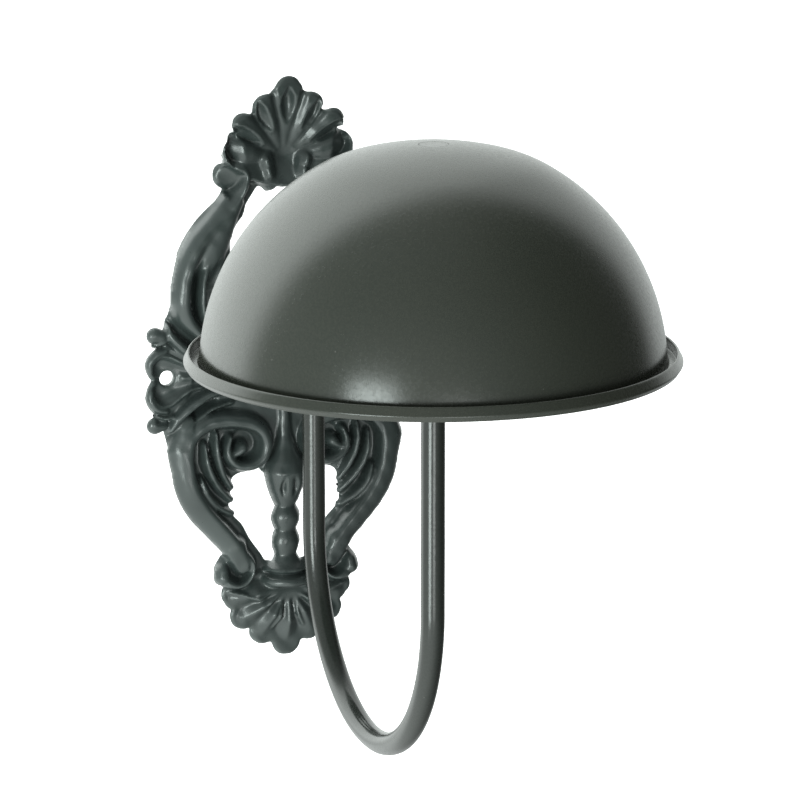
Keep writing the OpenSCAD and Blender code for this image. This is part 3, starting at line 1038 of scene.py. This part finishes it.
def shell_hollow(px, pz, hub_z, start, way):
    """Share of the hollow behind a shell: 0 at its hub, 1 behind its petals."""
    outward = np.clip((np.hypot(px, pz - hub_z) - 6) / 12, 0, 1)
    return outward * np.clip(way * (pz - start) / 6, 0, 1)


def side_faces(cell, index, count):
    """Walls between the front and the back, on each open side of each cell."""
    sides = []
    rows, cols = cell.shape
    padded = np.pad(cell, 1)
    # a step to the neighbouring cell, then the two corners that the cell shares with it
    for (di, dj), p, q in (
        ((-1, 0), (0, 0), (0, 1)),
        ((0, 1), (0, 1), (1, 1)),
        ((1, 0), (1, 1), (1, 0)),
        ((0, -1), (1, 0), (0, 0)),
    ):
        i, j = np.nonzero(cell & ~padded[1 + di:1 + di + rows, 1 + dj:1 + dj + cols])
        first, second = index[i + p[0], j + p[1]], index[i + q[0], j + q[1]]
        sides.append(np.stack([second, first, first + count, second + count], axis=1))
    return sides


def casting():
    """Closed mesh of the plate: relief in front, and behind a flat back with a hollow behind each shell
    and a pocket for the rear nut. The grid's border points are moved onto the outline."""
    inside = full_o < 0.35 * GRID
    cell = inside[:-1, :-1] & inside[1:, :-1] & inside[:-1, 1:] & inside[1:, 1:]
    around = np.zeros(full_o.shape, int)
    for di in (0, 1):
        for dj in (0, 1):
            around[di:di + cell.shape[0], dj:dj + cell.shape[1]] += cell
    used = around > 0
    border = used & (around < 4)
    px, pz = WX.copy(), WZ.copy()
    slope_z, slope_x = np.gradient(full_o, GRID)
    for _ in range(4):
        value, gx, gz, level = (sampled(field, px, pz) for field in (full_o, slope_x, slope_z, full_h))
        steep = np.maximum(gx ** 2 + gz ** 2, 0.25)
        px = np.where(border, px - np.clip(value * gx / steep, -GRID, GRID), px)
        pz = np.where(border, pz - np.clip(value * gz / steep, -GRID, GRID), pz)
    top_h = np.where(border, level, full_h)
    front = np.stack([px[used], -top_h[used], pz[used]], axis=1)

    boss_far = np.hypot(px, pz - ARM_Z)
    screw_far = np.hypot(np.abs(px) - SCREW_X, pz)
    share = np.maximum(shell_hollow(px, pz, CREST[1], 78, 1), shell_hollow(px, pz, FOOT[1], -80, -1))
    hollow = np.clip(top_h - SHELL_WALL, 0, None) * share
    behind = np.where(boss_far < POCKET_R, POCKET_DEPTH, hollow)
    lean = np.clip(1 + value / DRAFT_WIDTH, 0, 1) * np.where(boss_far < BOSS_UPRIGHT_R, 0, DRAFT)
    lean = np.where(screw_far < SCREW_UPRIGHT_R, 0, lean)
    slope = np.sqrt(steep)
    back_x, back_z = px - lean * gx / slope, pz - lean * gz / slope
    back = np.stack([back_x[used], -behind[used], back_z[used]], axis=1)

    count = int(used.sum())
    index = np.full(full_o.shape, -1)
    index[used] = np.arange(count)
    i, j = np.nonzero(cell)
    top = np.stack([index[i, j], index[i, j + 1], index[i + 1, j + 1], index[i + 1, j]], axis=1)
    under = top[:, ::-1] + count
    faces = np.concatenate([top, under] + side_faces(cell, index, count))
    return np.concatenate([front, back]), faces.tolist()


plate_points, plate_faces = casting()
add_piece("scroll_plate", plate_points, plate_faces, CAST, "bracket", "wall_plate", 55)


# ---------------------------------------------------------------- floor, light and camera

FLOOR_Z = -0.45
FLOOR_HALF = 12.0
FLOOR_COLOUR = (0.88, 0.885, 0.88)
FLOOR_GLOW = 0.7       # keeps the floor as white as the space behind it

LENS = 193.5           # millimetres, on a sensor 36 mm wide
SENSOR = 36.0
AIM = Vector((0, -0.125, 0.0162))
AZIMUTH = -20.0        # degrees, to the left of straight on
ELEVATION = 13.5
DISTANCE = 1.4268

UP = (0, 0, 1)
SWEEP = (0.09, 0.98, 0.19)         # behind the object, a little above the horizon
SWEEP_SIDE = (-0.85, -0.28, 0.44)  # towards this the sweep is brighter
ROOM_SIDE = (-1, -0.15, 0)         # and towards this the room
ROOM_TINT = (0.93, 0.985, 0.96, 1)
WHITE = (1, 1, 1, 1)


def floor_paint():
    tree = Tree("pale_floor")
    tone = tree.noise(0.8, 2)
    base = tree.mix(tone, tuple(0.985 * v for v in FLOOR_COLOUR), FLOOR_COLOUR)
    tree.set(Emission_Color=WHITE, Emission_Strength=FLOOR_GLOW)
    return tree.wire(base, tree.ramp(tone, 0, 1, 0.88, 0.9))


def studio_floor():
    bm = bmesh.new()
    bmesh.ops.create_grid(bm, x_segments=8, y_segments=8, size=FLOOR_HALF)
    mesh = bpy.data.meshes.new("studio_floor")
    bm.to_mesh(mesh)
    bm.free()
    mesh.materials.append(floor_paint())
    obj = bpy.data.objects.new("studio_floor", mesh)
    obj.location = (0, 0, FLOOR_Z)
    obj.visible_glossy = obj.visible_diffuse = False
    scene.collection.objects.link(obj)


def turned_to(obj, target):
    """Points a camera or a light at a place."""
    aim = Vector(target) - obj.location
    obj.rotation_euler = aim.to_track_quat("-Z", "Y").to_euler()


def camera():
    data = bpy.data.cameras.new("photo_camera")
    data.lens, data.sensor_width = LENS, SENSOR
    data.clip_start, data.clip_end = 0.05, 60
    obj = bpy.data.objects.new("photo_camera", data)
    az, el = math.radians(AZIMUTH), math.radians(ELEVATION)
    way = Vector((math.sin(az) * math.cos(el), -math.cos(az) * math.cos(el), math.sin(el)))
    obj.location = AIM + DISTANCE * way
    turned_to(obj, AIM)
    scene.collection.objects.link(obj)
    scene.camera = obj


def softbox(name, place, target, size, power, colour=(1, 1, 1)):
    data = bpy.data.lights.new(name, "AREA")
    data.shape = "RECTANGLE"
    data.size, data.size_y = size
    data.energy = power
    data.color = colour
    obj = bpy.data.objects.new(name, data)
    obj.location = place
    turned_to(obj, target)
    obj.visible_camera = False
    scene.collection.objects.link(obj)
    return obj


def studio_world():
    """Soft white sweep behind and above, a dimmer and slightly green room in front, plain white where
    it is seen directly."""
    world = bpy.data.worlds.new("studio")
    scene.world = world
    world.use_nodes = True
    nodes, links = world.node_tree.nodes, world.node_tree.links
    background = nodes["Background"]
    way = nodes.new("ShaderNodeTexCoord").outputs["Generated"]

    def facing(direction, low, high, out_low, out_high):
        dot = nodes.new("ShaderNodeVectorMath")
        dot.operation = "DOT_PRODUCT"
        links.new(way, dot.inputs[0])
        dot.inputs[1].default_value = Vector(direction).normalized()
        spread = nodes.new("ShaderNodeMapRange")
        spread.interpolation_type = "SMOOTHSTEP"
        set_range(spread, low, high, out_low, out_high)
        links.new(dot.outputs["Value"], spread.inputs["Value"])
        return spread.outputs["Result"]

    def times(a, b):
        return math_node(nodes, links, "MULTIPLY", a, b)

    sweep = times(facing(SWEEP, 0.29, 0.59, 0, 1), facing(SWEEP_SIDE, -0.6, 1, 1.15, 3.1))
    sweep = times(sweep, facing(UP, -0.3, -0.05, 0.35, 1))
    room = times(facing(ROOM_SIDE, -0.9, 0.7, 0.05, 0.68), facing(UP, -0.45, -0.05, 2.4, 1))
    room = times(room, facing(UP, 0.25, 0.8, 1, 0.7))
    total = math_node(nodes, links, "ADD", sweep, room)
    seen = nodes.new("ShaderNodeLightPath").outputs["Is Camera Ray"]
    links.new(math_node(nodes, links, "MAXIMUM", total, seen), background.inputs["Strength"])
    tint = nodes.new("ShaderNodeMix")
    tint.data_type = "RGBA"
    tint.inputs["A"].default_value = ROOM_TINT
    tint.inputs["B"].default_value = WHITE
    links.new(seen, tint.inputs["Factor"])
    links.new(tint.outputs["Result"], background.inputs["Color"])


studio_floor()
camera()
studio_world()
scene.view_settings.view_transform = "Standard"

# a low window in front on the left, a smaller low panel under the camera, a broad light on the sweep
softbox("low_window", (-1.13, -1.14, -0.19), (0, -0.157, 0.03), (0.56, 0.70), 13.5, (0.9, 1, 0.97))
softbox("low_strip", (-0.22, -1.55, -0.28), (0, -0.15, -0.05), (0.50, 0.34), 3.0, (0.95, 1, 0.98))
top_light = softbox("sweep_top", (-0.5, 1.0, 2.4), (0, 1.5, -0.4), (2.5, 2.5), 40)
top_light.visible_glossy = False
